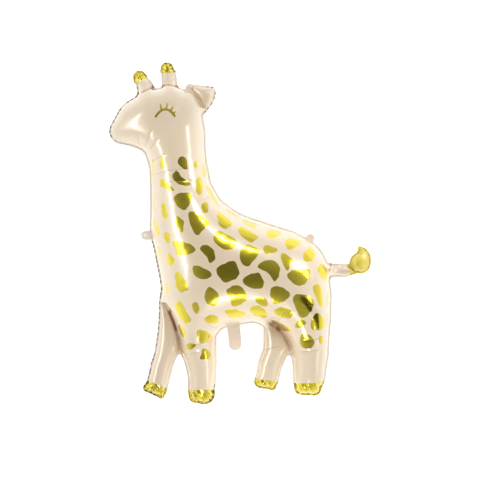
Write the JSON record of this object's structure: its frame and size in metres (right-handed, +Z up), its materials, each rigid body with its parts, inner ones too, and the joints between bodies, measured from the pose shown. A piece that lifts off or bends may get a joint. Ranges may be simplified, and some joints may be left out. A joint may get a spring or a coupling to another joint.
{
  "type": "shaped balloon",
  "caption": "Foil balloon in the shape of a standing giraffe with gold spots, horns and feet, hanging tabs and a valve tongue, filled and lying on its side.",
  "frame": {"origin": "on the floor, under the centre of the bounding box", "axes": "+Y from the feet to the horns along the figure, +X from the nose's side to the tail's side, +Z up from the floor, square to the weld"},
  "size_m": [0.764, 0.9988, 0.2852],
  "materials": {
    "cream_film": "pearly gloss film printed with mirror gold spots"
  },
  "bodies": {
    "root": {"giraffe_balloon": "cream_film"}
  },
  "joints": []
}
